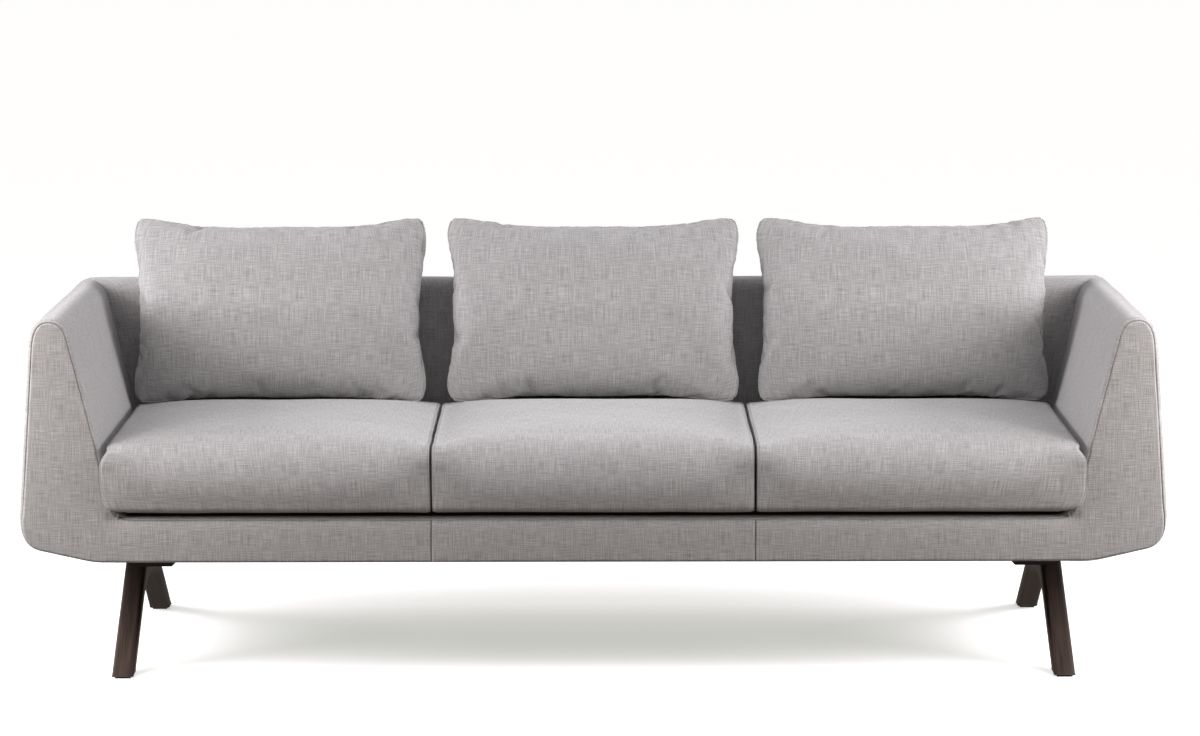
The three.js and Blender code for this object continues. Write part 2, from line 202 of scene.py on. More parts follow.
def get_points(obj):
    co = np.zeros(len(obj.data.vertices) * 3)
    obj.data.vertices.foreach_get("co", co)
    return co.reshape(-1, 3)


def set_points(obj, co):
    obj.data.vertices.foreach_set("co", np.asarray(co).ravel())
    obj.data.update()


def get_normals(obj):
    out = np.zeros(len(obj.data.vertices) * 3)
    obj.data.vertices.foreach_get("normal", out)
    return out.reshape(-1, 3)


def inside(points, ring):
    """Which points lie inside a closed ring."""
    x, y = points[:, 0, None], points[:, 1, None]
    ax, ay = ring[:, 0], ring[:, 1]
    bx, by = np.roll(ax, -1), np.roll(ay, -1)
    crosses = (ay > y) != (by > y)
    at = ax + (y - ay) * (bx - ax) / np.where(by == ay, 1e-12, by - ay)
    return (np.sum(crosses & (x < at), 1) % 2) == 1


def distance_to(points, ring):
    """Distance of each point to the nearest edge of a closed ring."""
    a, b = ring, np.roll(ring, -1, 0)
    edge = b - a
    size = np.maximum(np.sum(edge * edge, 1), 1e-18)
    best = np.full(len(points), 1e9)
    for i in range(len(a)):
        t = np.clip(((points - a[i]) @ edge[i]) / size[i], 0, 1)
        best = np.minimum(best, np.linalg.norm(points - a[i] - t[:, None] * edge[i], axis=1))
    return best


def panel(name, border, face, facing, spacing=7 * MM, roll=4.5 * MM, sunk=3.2 * MM, dome=2 * MM):
    """A flat piece of cloth in X and Z inside a closed border, sewn in all round. Its edge rolls back into
    the seam by `sunk`, and its middle stands out by `dome`. `facing` is -1 at the front and 1 at the rear."""
    edge_steps = (0, 0.1, 0.25, 0.5, 0.8, 1.2)
    dome_reach = 30 * MM
    step = inward(border)
    rings = [border + step * roll * share for share in edge_steps]
    last = rings[-1]
    low, high = last.min(0), last.max(0)
    xs = np.arange(low[0], high[0], spacing)
    zs = np.arange(low[1], high[1], spacing)
    grid = np.stack(np.meshgrid(xs, zs), -1).reshape(-1, 2)
    grid = grid[inside(grid, last)]
    grid = grid[distance_to(grid, last) > 0.6 * spacing]
    count = len(border)
    flat = [Vector(p) for p in np.concatenate([last, grid])]
    filled = geometry.delaunay_2d_cdt(flat, [], [list(range(count))], 1, 1e-7)
    middle_points = np.array([tuple(p) for p in filled[0]])
    points = np.concatenate(rings[:-1] + [middle_points])
    faces = []
    origin = [source[0] if source else None for source in filled[3]]
    place = {o: (len(rings) - 1) * count + i for i, o in enumerate(origin) if o is not None and o < count}
    for r in range(len(rings) - 1):
        for j in range(count):
            k = (j + 1) % count
            a, b = r * count + j, r * count + k
            if r < len(rings) - 2:
                c, d = a + count, b + count
            else:
                c, d = place[j], place[k]
            faces.append((a, b, d, c))
    base = (len(rings) - 1) * count
    faces += [tuple(base + i for i in face_) for face_ in filled[2]]
    depth_at = distance_to(points, border)
    depth_at[:count] = 0
    rise = -sunk * (1 - np.sin(np.clip(depth_at / roll, 0, 1) * math.pi / 2)) ** 1.5
    rise += dome * (1 - np.exp(-depth_at / dome_reach))
    solid = np.stack([points[:, 0], face + facing * rise, points[:, 1]], 1)
    uvs = [tuple(points[i]) for f in faces for i in f]
    obj = new_object(name, solid, faces, uvs)
    tidy(obj)
    if sum(p.normal.y for p in obj.data.polygons) * facing < 0:
        obj.data.flip_normals()
    return obj


# ---- softness -----------------------------------------------------------------------------
def soften(obj, amount, size, seed):
    """Lets the surface wander in and out by up to `amount`, in waves about `size` long."""
    co, normals = get_points(obj), get_normals(obj)
    shift = Vector((seed * 3.7, seed * 1.9, seed * 5.3))
    wave = np.array([noise.noise(Vector(p) / size + shift) for p in co])
    set_points(obj, co + normals * (amount * wave)[:, None])


# ---- materials ----------------------------------------------------------------------------
def node(tree, kind, values=None, **settings):
    made = tree.nodes.new("ShaderNode" + kind)
    for key, value in settings.items():
        setattr(made, key, value)
    for key, value in (values or {}).items():
        if isinstance(value, bpy.types.NodeSocket):
            tree.links.new(value, made.inputs[key])
        else:
            made.inputs[key].default_value = value
    return made


def new_material(name, **constants):
    """A material with an empty principled shader; constants are set on its own sockets."""
    material = bpy.data.materials.new(name)
    material.use_nodes = True
    shader = material.node_tree.nodes["Principled BSDF"]
    for key, value in constants.items():
        shader.inputs[key.replace("_", " ")].default_value = value
    return material, material.node_tree, shader


def maths(tree, operation, a, b=0.0, c=0.0):
    return node(tree, "Math", {0: a, 1: b, 2: c}, operation=operation).outputs[0]


def streaks(tree, uv, wide, long, rough=0.55, detail=2.0):
    """Noise drawn out along one direction, in metres of cloth."""
    stretched = node(tree, "Mapping", {"Vector": uv, "Scale": (1 / wide, 1 / long, 1)})
    return node(tree, "TexNoise", {
        "Vector": stretched.outputs[0], "Scale": 1.0, "Detail": detail, "Roughness": rough,
    }, noise_dimensions="2D").outputs[0]


# the streaks in the cloth: size in U and V, weight in its tone, and whether they stand out as yarns
YARNS = (
    (1.8 * MM, 42 * MM, 1.25, True),
    (34 * MM, 1.8 * MM, 1.1, True),
    (1.5 * MM, 1.8 * MM, 0.8, False),
    (4 * MM, 90 * MM, 0.22, False),
    (90 * MM, 140 * MM, 0.10, False))


def woven(name, dark, light, yarn=1.6 * MM, contrast=0.95):
    """Melange linen weave: light and dark yarns both ways, thick and thin along their length."""
    material, tree, shader = new_material(
        name, Roughness=0.92, Sheen_Weight=0.22, Sheen_Roughness=0.45, Specular_IOR_Level=0.25)
    uv = node(tree, "UVMap", uv_map="cloth").outputs[0]
    tone, height = 0.5, 0.0
    for wide, long, weight, raised in YARNS:
        yarns = streaks(tree, uv, wide, long)
        weight *= contrast
        tone = maths(tree, "ADD", tone, maths(tree, "MULTIPLY_ADD", yarns, weight, -weight / 2))
        height = maths(tree, "ADD", height, yarns) if raised else height
    colour = node(tree, "Mix", {0: tone, 6: (*dark, 1), 7: (*light, 1)}, data_type="RGBA")
    tree.links.new(colour.outputs[2], shader.inputs["Base Color"])
    parts = node(tree, "SeparateXYZ", {0: uv})
    waves = [maths(tree, "SINE", maths(tree, "MULTIPLY", parts.outputs[k], math.pi / yarn)) for k in (0, 1)]
    pebble = maths(tree, "ABSOLUTE", maths(tree, "MULTIPLY", *waves))
    height = maths(tree, "ADD", maths(tree, "MULTIPLY", pebble, 0.35), height)
    bump = node(tree, "Bump", {"Height": height, "Strength": 0.55, "Distance": 0.5 * MM})
    tree.links.new(bump.outputs[0], shader.inputs["Normal"])
    return material


def stained_wood(name):
    """Dark stained wood with a satin coat; the grain runs along the first cloth direction."""
    material, tree, shader = new_material(
        name, Roughness=0.5, Coat_Weight=0.12, Coat_Roughness=0.3, Specular_IOR_Level=0.35)
    uv = node(tree, "UVMap", uv_map="cloth").outputs[0]
    grain = streaks(tree, uv, 160 * MM, 2.4 * MM, 0.6, 4.0)
    pores = streaks(tree, uv, 30 * MM, 0.7 * MM, 0.5, 1.0)
    broad = streaks(tree, uv, 220 * MM, 18 * MM)
    mixed = maths(tree, "ADD", maths(tree, "MULTIPLY", grain, 0.6), maths(tree, "MULTIPLY", broad, 0.4))
    ramp = node(tree, "ValToRGB", {0: mixed})
    ramp.color_ramp.elements[0].position = 0.32
    ramp.color_ramp.elements[0].color = (0.012, 0.0085, 0.0075, 1)
    ramp.color_ramp.elements[1].position = 0.68
    ramp.color_ramp.elements[1].color = (0.058, 0.037, 0.028, 1)
    tree.links.new(ramp.outputs[0], shader.inputs["Base Color"])
    bump = node(tree, "Bump", {"Height": pores, "Strength": 0.3, "Distance": 0.2 * MM})
    tree.links.new(bump.outputs[0], shader.inputs["Normal"])
    return material


def plain(name, dark, light, size, roughness, metallic=0.0, relief=0.1 * MM):
    """Finish of a CAD node that carries no cloth directions: two tones in noise, with a fine relief."""
    material, tree, shader = new_material(name, Roughness=roughness, Metallic=metallic)
    place = node(tree, "TexCoord").outputs["Object"]
    stretched = node(tree, "Mapping", {"Vector": place, "Scale": [1 / s for s in size]}).outputs[0]
    pattern = node(tree, "TexNoise", {"Vector": stretched, "Scale": 1.0, "Detail": 3.0}).outputs[0]
    colour = node(tree, "Mix", {0: pattern, 6: (*dark, 1), 7: (*light, 1)}, data_type="RGBA")
    tree.links.new(colour.outputs[2], shader.inputs["Base Color"])
    bump = node(tree, "Bump", {"Height": pattern, "Strength": 0.4, "Distance": relief})
    tree.links.new(bump.outputs[0], shader.inputs["Normal"])
    return material


SHELL_CLOTH = woven("shell_cloth", (0.200, 0.193, 0.188), (0.405, 0.394, 0.386))
CUSHION_CLOTH = woven("cushion_cloth", (0.200, 0.195, 0.192), (0.410, 0.402, 0.397))
DARK_WOOD = stained_wood("dark_stained_wood")
CAD_FINISH = {
    "deck_cloth": plain("deck_weave", (0.05, 0.048, 0.047), (0.10, 0.097, 0.095), (1.5 * MM,) * 3, 0.95),
    "lining": plain("lining_weave", (0.010, 0.010, 0.011), (0.028, 0.028, 0.030), (1.2 * MM,) * 3, 0.95),
    "webbing": plain("webbing_weave", (0.012, 0.012, 0.014), (0.05, 0.05, 0.055), (2 * MM,) * 3, 0.8),
    "frame_timber": plain("pale_timber", (0.42, 0.27, 0.14), (0.66, 0.48, 0.29), (0.15, 0.15, 3 * MM), 0.7),
    "dark_wood": plain(
        "dark_timber", (0.012, 0.009, 0.008), (0.045, 0.03, 0.023), (3 * MM, 0.2, 3 * MM), 0.6),
    "bolt_steel": plain("bolt_steel", (0.45, 0.45, 0.46), (0.62, 0.62, 0.63), (1 * MM,) * 3, 0.35, 1.0),
    "glide_felt": plain("glide_felt", (0.012, 0.011, 0.010), (0.04, 0.037, 0.034), (1 * MM,) * 3, 0.98),
}


def dress(obj, material, body, slot, *nodes):
    """Gives a piece its material, its body and the CAD nodes it stands for."""
    obj.data.materials.clear()
    obj.data.materials.append(material)
    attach(obj, body)
    if nodes:
        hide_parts(*nodes)


# ---- the upholstered shell ----------------------------------------------------------------
def arm_section():
    """Closed outline of the right arm in X and Z, and how far its front seam lies in from each point."""
    parts = np.concatenate([outer_arm(), inner_arm()[1:-14]])
    foot = np.array([[BASE_SIDE, RAIL_TOP], [BASE_SIDE, BOTTOM], parts[0]])
    section = spaced(np.concatenate([parts, foot]), 6 * MM)[:-1]
    return section, seam_inset(section[:, 1])


def arm_stations():
    """From front to rear, each ring's y, its share of the seam inset, and the insets of its sides and top."""
    start = COVER_FRONT + COVER_ROUND
    turn = np.linspace(90, 0, 7)
    front = [(COVER_FRONT + 7 * MM, 1.14, (0, 0)), (COVER_FRONT + 3 * MM, 1.06, (0, 0))]
    front += [(start - COVER_ROUND * math.sin(math.radians(a)), 1 - math.cos(math.radians(a)), (0, 0))
              for a in turn]
    end = REAR - REAR_CORNER
    straight = [(y, 0, (0, 0)) for y in np.linspace(start, end, 90)[1:]]
    rear = []
    for a in np.radians(np.linspace(0, 80, 14)[1:]):
        y = end + REAR_CORNER * math.sin(a)
        over = max(0, y - (REAR - REAR_ROUND)) / REAR_ROUND
        rear.append((y, 0, (REAR_CORNER * (1 - math.cos(a)), REAR_ROUND * (1 - math.sqrt(1 - over ** 2)))))
    return front + straight + rear


def arm():
    section, insets = arm_section()
    step = inward(section)
    rings, across = [], []
    for y, share, rounding in arm_stations():
        ring = section + step * ((share * insets)[:, None] + np.array(rounding))
        rings.append(np.stack([ring[:, 0], np.full(len(ring), y), ring[:, 1]], 1))
        across.append(y)
    return loft("arm_upholstery_right", rings, across, flat=(0, 2))


def back_section():
    """Closed outline of the back in Y and Z: leaning inner face, rounded top edges, upright rear."""
    lean = math.tan(BACK_LEAN)
    inner = lambda z: BACK_FACE + (z - RAIL_TOP) * lean
    soft, rear = 26 * MM, REAR - 1 * MM
    return spaced(outline(
        (inner(BOTTOM), BOTTOM), (inner(TOP - soft), TOP - soft),
        ((inner(TOP - 1 * MM), TOP), (inner(TOP) + soft, TOP)), (rear - REAR_ROUND, TOP),
        ((rear, TOP), (rear, TOP - REAR_ROUND)), (rear, BOTTOM), (inner(BOTTOM) + MM, BOTTOM)), 6 * MM)


def back():
    """The back between the arms, running just into them and along their crests at the top."""
    section = back_section()
    inner = inner_arm()[:-14][::-1]
    reach = np.interp(section[:, 1], inner[:, 1], inner[:, 0]) + 5 * MM
    reach = np.minimum(reach, ARM_CREST - 3 * MM)
    shares = np.concatenate([[-1, -0.995, -0.985], np.linspace(-0.97, 0.97, 150), [0.985, 0.995, 1]])
    rings = [np.stack([reach * s, section[:, 0], section[:, 1]], 1) for s in shares]
    return loft("back_upholstery", rings, shares * ARM_CREST, flat=(1, 2))


def rail():
    """The rail under the front of the seat, its ends turning up into the arms."""
    corner = inner_arm()[-15:][::-1]
    xs = np.linspace(-corner[0, 0], corner[0, 0], 110)
    stations = np.concatenate([-corner[::-1, 0], xs[1:-1], corner[:, 0]])
    tops = np.concatenate([corner[::-1, 1], np.full(len(xs) - 2, RAIL_TOP), corner[:, 1]])
    top_in, low_in = seam_inset(RAIL_TOP), seam_inset(BOTTOM)
    rings = []
    rear = FRONT + 42 * MM
    turn = np.radians(np.linspace(0, 90, 7))
    ys = COVER_FRONT + COVER_ROUND * (1 - np.sin(turn))
    tuck = COVER_FRONT + 3 * MM
    for x, top in zip(stations, tops):
        upper = list(zip(ys, top - top_in * (1 - np.cos(turn))))
        lower = list(zip(ys, BOTTOM + low_in * (1 - np.cos(turn))))
        ring = [(rear, BOTTOM), (rear, top), *upper, (tuck, top - top_in * 1.06),
                (tuck, BOTTOM + low_in * 1.06), *lower[::-1]]
        rings.append([(x, y, z) for y, z in ring])
    return loft("rail_upholstery", rings, stations, flat=(1, 2))


def front_border(x0, x1):
    """Border of a front panel between upright seams at x0 and x1. Where x1 is None, it is the right arm's."""
    if x1 is not None:
        low, high = BOTTOM + seam_inset(BOTTOM), RAIL_TOP - seam_inset(RAIL_TOP)
        corners = np.array([(x0, low), (x1, low), (x1, high), (x0, high)])
        sides = [spaced(corners[[i, (i + 1) % 4]], 6 * MM)[:-1] for i in range(4)]
        return np.concatenate(sides)
    edge = np.concatenate([[(x0, BOTTOM)], outer_arm(), inner_arm()[1:], [(x0, RAIL_TOP)]])
    ring = spaced(edge, 6 * MM)
    step = inward(np.concatenate([ring, [(x0 - 0.1, RAIL_TOP), (x0 - 0.1, BOTTOM)]]))[:len(ring)]
    ring = ring + step * (1.02 * seam_inset(ring[:, 1]))[:, None]
    side = spaced(np.array([ring[-1], ring[0]]), 6 * MM)[1:-1]
    return np.concatenate([ring, side])


def rear_border():
    """Border of the rear panel, inside the rounded edge of the arms and back."""
    half = spaced(outer_arm(), 9 * MM)
    whole = np.concatenate([half, [(0, TOP)], (half * (-1, 1))[::-1], [(0, BOTTOM)]])
    ring = spaced(np.concatenate([whole, whole[:1]]), 9 * MM)[:-1]
    return ring + inward(ring) * (REAR_CORNER * 0.78, REAR_ROUND * 0.6)


def roll_under_seat(obj):
    """Turns the cloth of the front back along the top of the rail, under the seat cushions."""
    co = get_points(obj)
    depth, height = 13 * MM, 26 * MM
    t = np.clip((co[:, 2] - (RAIL_TOP - height)) / height, 0, 1)
    near = (1 - smooth((abs(co[:, 0]) - (BASE_SIDE - 10 * MM)) / (40 * MM))) * (co[:, 1] < FRONT + 30 * MM)
    co[:, 1] += depth * (1 - np.sqrt(1 - 0.95 * t * t)) * near * (co[:, 2] < RAIL_TOP + 3 * MM)
    set_points(obj, co)


def shell():
    right = arm()
    roll_under_seat(right)
    left = mirror(right, "arm_upholstery_left")
    for seed, (obj, side) in enumerate(((left, "left"), (right, "right"))):
        soften(obj, 1.6 * MM, 0.17, seed + 1)
        dress(obj, SHELL_CLOTH, "shell", "shell_fabric", f"arm_cover_{side}")
    rear_and_top = back()
    soften(rear_and_top, 2.0 * MM, 0.19, 4)
    dress(rear_and_top, SHELL_CLOTH, "shell", "shell_fabric", "back_cover")
    under = rail()
    roll_under_seat(under)
    dress(under, SHELL_CLOTH, "shell", "shell_fabric", "front_rail_cover")
    face = FRONT + 0.5 * MM
    seam = 0.4 * MM
    side = panel("front_panel_right", front_border(SPLIT + seam, None), face, -1)
    roll_under_seat(side)
    twin = mirror(side, "front_panel_left")
    centre = panel("front_panel_centre", front_border(-SPLIT + seam, SPLIT - seam), face, -1)
    roll_under_seat(centre)
    for seed, (obj, which) in enumerate(((twin, "left"), (centre, "centre"), (side, "right"))):
        soften(obj, 1.0 * MM, 0.11, seed + 7)
        dress(obj, SHELL_CLOTH, "shell", "shell_fabric", f"facing_{which}")
    behind = panel(
        "rear_panel", rear_border(), REAR + 0.5 * MM, 1, spacing=12 * MM, sunk=4 * MM, dome=2.5 * MM)
    soften(behind, 1.5 * MM, 0.2, 12)
    dress(behind, SHELL_CLOTH, "shell", "shell_fabric")


# ---- legs ---------------------------------------------------------------------------------
def leg_frame(side):
    """One A-frame leg with a round crotch, its inner edges more deeply rounded towards the top."""
    low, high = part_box(f"leg_frame_{side}")
    outer_foot, foot, top = high.y, low.z, high.z
    slope_out, slope_in, foot_length = 1.8, 1.85, 60.4 * MM
    crotch, straight = 140 * MM, 105 * MM
    side_round, edge_round, foot_round = 9 * MM, 5 * MM, 2 * MM
    outer_y = lambda z: outer_foot - slope_out * (z - foot)
    inner_y = lambda z: outer_foot - foot_length - slope_in * (z - foot)
    half = outline((0, crotch), ((inner_y(crotch), crotch), (inner_y(straight), straight)),
                   (inner_y(foot), foot), (outer_y(foot), foot), (outer_y(top), top))
    whole = np.concatenate([half, (half[1:] * (-1, 1))[::-1]])
    ring = spaced(np.concatenate([whole, whole[:1]]), 5 * MM)[:-1]
    step = inward(ring)
    middle, half_width = (low.x + high.x) / 2, (high.x - low.x) / 2
    towards_middle = -1 if middle > 0 else 1
    rings, across = [], []
    for sign in (-1, 1):
        inner_side = sign == towards_middle
        turn = np.radians(np.linspace(90, 0, 7)) if sign < 0 else np.radians(np.linspace(0, 90, 7))
        for a in turn:
            deep = (7 + 5 * smooth(ring[:, 1] / top)) * MM if inner_side else edge_round
            inset = np.where(ring[:, 1] > foot + 1 * MM, deep, foot_round) * (1 - math.cos(a))
            across_x = middle + sign * (half_width - side_round * (1 - math.sin(a)))
            moved = ring + step * inset[:, None]
            moved[:, 1] = np.maximum(moved[:, 1], foot)
            rings.append(np.stack([np.full(len(ring), across_x), moved[:, 0], moved[:, 1]], 1))
            across.append(across_x)
    obj = loft(f"a_frame_leg_{side}", rings, across, flat=(1, 2))
    grain_along_legs(obj, slope_out)
    return obj


def grain_along_legs(obj, slope):
    """Cloth directions for the wood: along each leg, and across it or through it."""
    layer = obj.data.uv_layers["cloth"].data
    run = math.hypot(slope, 1)
    for face in obj.data.polygons:
        through = abs(face.normal.x) < 0.6
        for corner in face.loop_indices:
            co = obj.data.vertices[obj.data.loops[corner].vertex_index].co
            y = abs(co.y)
            along = (y * slope - co.z) / run
            over = co.x if through else (y + co.z * slope) / run
            layer[corner].uv = (along + math.copysign(0.7, face.center.y), over)


def legs():
    for side in ("left", "right"):
        dress(leg_frame(side), DARK_WOOD, "shell", "dark_wood", f"leg_frame_{side}")


# ---- loose cushions -----------------------------------------------------------------------
def run_cloth(obj, frames, pressure, stiffness, bending, held=(), gathered=(), gather=0.0, full=None):
    """Blows a mesh up as cloth and returns where its points end. `held` points stay put, the cloth at
    `gathered` points is drawn together by `gather`, and it stops once it is `full` thick in Y."""
    cloth = obj.modifiers.new("cloth", "CLOTH")
    settings = cloth.settings
    settings.quality = 6
    settings.use_pressure = True
    settings.uniform_pressure_force = pressure
    settings.tension_stiffness = settings.compression_stiffness = stiffness
    settings.shear_stiffness = stiffness / 3
    settings.bending_stiffness = bending
    settings.effector_weights.gravity = 0
    cloth.collision_settings.use_collision = False
    if len(held):
        group = obj.vertex_groups.new(name="held")
        group.add([int(i) for i in held], 1.0, "REPLACE")
        settings.vertex_group_mass = "held"
    if len(gathered):
        group = obj.vertex_groups.new(name="gathered")
        group.add([int(i) for i in gathered], 1.0, "REPLACE")
        settings.vertex_group_shrink = "gathered"
        settings.shrink_min, settings.shrink_max = 0.0, gather
    cloth.point_cache.frame_start, cloth.point_cache.frame_end = 1, frames
    for number in range(1, frames + 1):
        bpy.context.scene.frame_set(number)
        shown = obj.evaluated_get(bpy.context.evaluated_depsgraph_get())
        co = np.zeros(len(obj.data.vertices) * 3)
        shown.data.vertices.foreach_get("co", co)
        co = co.reshape(-1, 3)
        if full and np.ptp(co[:, 1]) > full:
            break
    obj.modifiers.remove(cloth)
    obj.vertex_groups.clear()
    bpy.context.scene.frame_set(1)
    return co


def puff(obj, held, voxel=8 * MM, pressure=4.0, frames=20, cap=24 * MM):
    """Pads a cushion. An even copy of it is blown up as cloth, held where `held` says, and the cushion's
    own points follow the copy's nearest ones, by at most `cap`."""
    copy = obj.copy()
    copy.data = obj.data.copy()
    bpy.context.scene.collection.objects.link(copy)
    remesh = copy.modifiers.new("even", "REMESH")
    remesh.mode, remesh.voxel_size = "VOXEL", voxel
    shown = copy.evaluated_get(bpy.context.evaluated_depsgraph_get())
    even = bpy.data.meshes.new_from_object(shown)
    copy.modifiers.clear()
    copy.data = even
    rest = get_points(copy)
    end = run_cloth(copy, frames, pressure, 15.0, 0.5, np.flatnonzero(held(rest)))
    move = end - rest
    size = np.linalg.norm(move, axis=1, keepdims=True)
    move *= np.minimum(1, cap / np.maximum(size, 1e-9))
    bpy.data.objects.remove(copy)
    tree = kdtree.KDTree(len(rest))
    for i, p in enumerate(rest):
        tree.insert(p, i)
    tree.balance()
    co = get_points(obj)
    follow = np.zeros_like(co)
    for i, p in enumerate(co):
        near = tree.find_n(p, 7)
        weights = np.array([1 / (n[2] + 2 * MM) ** 2 for n in near])
        follow[i] = weights @ move[[n[1] for n in near]] / weights.sum()
    set_points(obj, co + follow)


def refine(obj, levels=1):
    """Subdivides the piece and keeps the result as its mesh."""
    finer = obj.modifiers.new("finer", "SUBSURF")
    finer.levels = finer.render_levels = levels
    finer.boundary_smooth = "PRESERVE_CORNERS"
    shown = obj.evaluated_get(bpy.context.evaluated_depsgraph_get())
    mesh = bpy.data.meshes.new_from_object(shown)
    obj.modifiers.clear()
    old, obj.data = obj.data, mesh
    bpy.data.meshes.remove(old)
    mesh.name = obj.name


SEAT_RISE = 0.1364            # top of a seat cushion's edges over its base
SEAT_SLANT = 0.235            # how far the arm side of an end cushion leans out, per height
SEAT_EDGE = 7 * MM            # rounding of the edges along its sides
SEAT_SIDE = 1 * MM            # how far the middle of its sides stands out
SEAT_PROUD = 19 * MM          # how far its front stands ahead of the front panels
SEAT_CROWN = 14 * MM          # rise of the middle of its top
SEAT_REACH = 0.9545           # x of the outer front edge of an end cushion


def seat_profile(roll, count=330):
    """Closed outline of a seat cushion in Y and Z, its front rounded over a height of `roll` at the top."""
    low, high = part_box("seat_cushion_centre")
    front, rear, base = FRONT - SEAT_PROUD, high.y - 4 * MM, low.z
    top = base + SEAT_RISE - 2 * MM
    under, back, lip = 16 * MM, 28 * MM, 6 * MM
    toe = front + 6 * MM   # the lower front edge, set back and lifted off the rail
    path = outline(
        (0, base), (toe + 4 * under, base), ((toe + 2 * under, base), (toe + under, base + lip)),
        ((toe, base + lip), (toe, base + lip + under)), (front, top - roll),
        ((front, top), (front + 1.15 * roll, top)), (rear - back, top), ((rear, top), (rear, top - back)),
        (rear, base + under), ((rear, base), (rear - under, base)), (0, base))
    length = np.sum(np.linalg.norm(np.diff(path, axis=0), axis=1))
    return spaced(path, length / count)[:count]


def seat_rings(x_low, x_high):
    """Rings of a seat cushion between two sides, each given as a function of height, and their places across.
    A corded seam runs round each side, where the boxing meets the top, and the front is squarer there."""
    side_profile, profile = seat_profile(32 * MM), seat_profile(66 * MM)
    front, rear = profile[:, 0].min(), profile[:, 0].max()
    base, top = profile[:, 1].min(), profile[:, 1].max()
    height = top - base
    medial_y = np.clip(profile[:, 0], front + height / 2, rear - height / 2)
    medial = np.stack([medial_y, np.full(len(profile), base + height / 2)], 1)
    ends = [(SEAT_SIDE * (1 - t) ** 2, t, 0) for t in (1.0, 0.75, 0.5, 0.32, 0.2, 0.12, 0.06, 0.02)]
    for a in np.linspace(90, 0, 13):
        cord = 1.1 * MM * math.exp(-((a - 45) / 9) ** 2)
        cord -= 0.8 * MM * (math.exp(-((a - 66) / 9) ** 2) + math.exp(-((a - 24) / 9) ** 2))
        s, c = math.sin(math.radians(a)), math.cos(math.radians(a))
        ends.append((SEAT_SIDE + SEAT_EDGE * (1 - s) - cord * s, 0.0, SEAT_EDGE * (1 - c) - cord * c))
    width = float(np.mean(x_high(profile[:, 1]) - x_low(profile[:, 1])))
    inner = SEAT_SIDE + SEAT_EDGE
    count = int((width - 2 * inner) / (8 * MM))
    rows = ends + [(d, 0, 0) for d in np.linspace(inner, width - inner, count + 2)[1:-1]]
    rows += [(width - d, t, i) for d, t, i in reversed(ends)]
    rings = []
    for place, shrink, inset in rows:
        share = smooth(min(place, width - place) / (110 * MM))
        ring = side_profile + share * (profile - side_profile)
        ring = ring + inward(ring) * inset
        ring = ring * (1 - shrink) + medial * shrink
        low_side, high_side = x_low(ring[:, 1]), x_high(ring[:, 1])
        share = place / width
        u, v = 2 * share - 1, 2 * (ring[:, 0] - front) / (rear - front) - 1
        rise = np.clip((ring[:, 1] - base) / height, 0, 1)
        lift = SEAT_CROWN * rise * (1 - abs(u) ** 5) * (1 - abs(v) ** 5)
        x = low_side + (high_side - low_side) * share
        rings.append(np.stack([x, ring[:, 0], ring[:, 1] + lift], 1))
    across = [d + math.copysign(t * height / 2, d - width / 2) for d, t, _ in rows]
    return np.array(rings), np.array(across)


def overhang(obj, base, side):
    """Lets the outer front edge of an end cushion swell sideways over the front of the arm."""
    co = get_points(obj)
    height = co[:, 2] - base
    low_round, low_cut = 60 * MM, 22 * MM
    top_start, top_round, top_cut = 96 * MM, 38 * MM, 24 * MM
    reach = SEAT_REACH - low_cut * np.clip(1 - height / low_round, 0, 1) ** 2
    reach -= top_cut * np.clip((height - top_start) / top_round, 0, 1) ** 2
    inner = abs(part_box(f"seat_cushion_{'left' if side < 0 else 'right'}")[0 if side < 0 else 1].x)
    slant = inner - SEAT_SLANT * (SEAT_RISE - np.clip(height, 0, SEAT_RISE)) - 2 * MM
    ahead = smooth((FRONT - 2.5 * MM - co[:, 1]) / (6 * MM))
    near = smooth((side * co[:, 0] - slant + 90 * MM) / (80 * MM))
    co[:, 0] += side * np.maximum(reach - slant, 0) * ahead * near
    set_points(obj, co)


def gathers(obj, base, front, outer):
    """Small folds where the cloth is sewn in along the lower front edge, deepest near the `outer` corners."""
    height, depth, corner_reach, fold = 26 * MM, 40 * MM, 70 * MM, 13 * MM
    plain_fold, corner_fold = 0.9 * MM, 3.2 * MM
    co = get_points(obj)
    low = np.clip(1 - (co[:, 2] - base) / height, 0, 1)
    low *= np.clip(1 - (co[:, 1] - front) / depth, 0, 1)
    corner = sum(np.exp(-abs(co[:, 0] - x) / corner_reach) for x in outer)
    wave = np.array([noise.noise(Vector((x / fold, 7.3, 1.7))) for x in co[:, 0]])
    shift = low * (plain_fold + corner_fold * corner) * wave
    co[:, 1] -= shift * 0.8
    co[:, 2] += shift * 0.9
    set_points(obj, co)


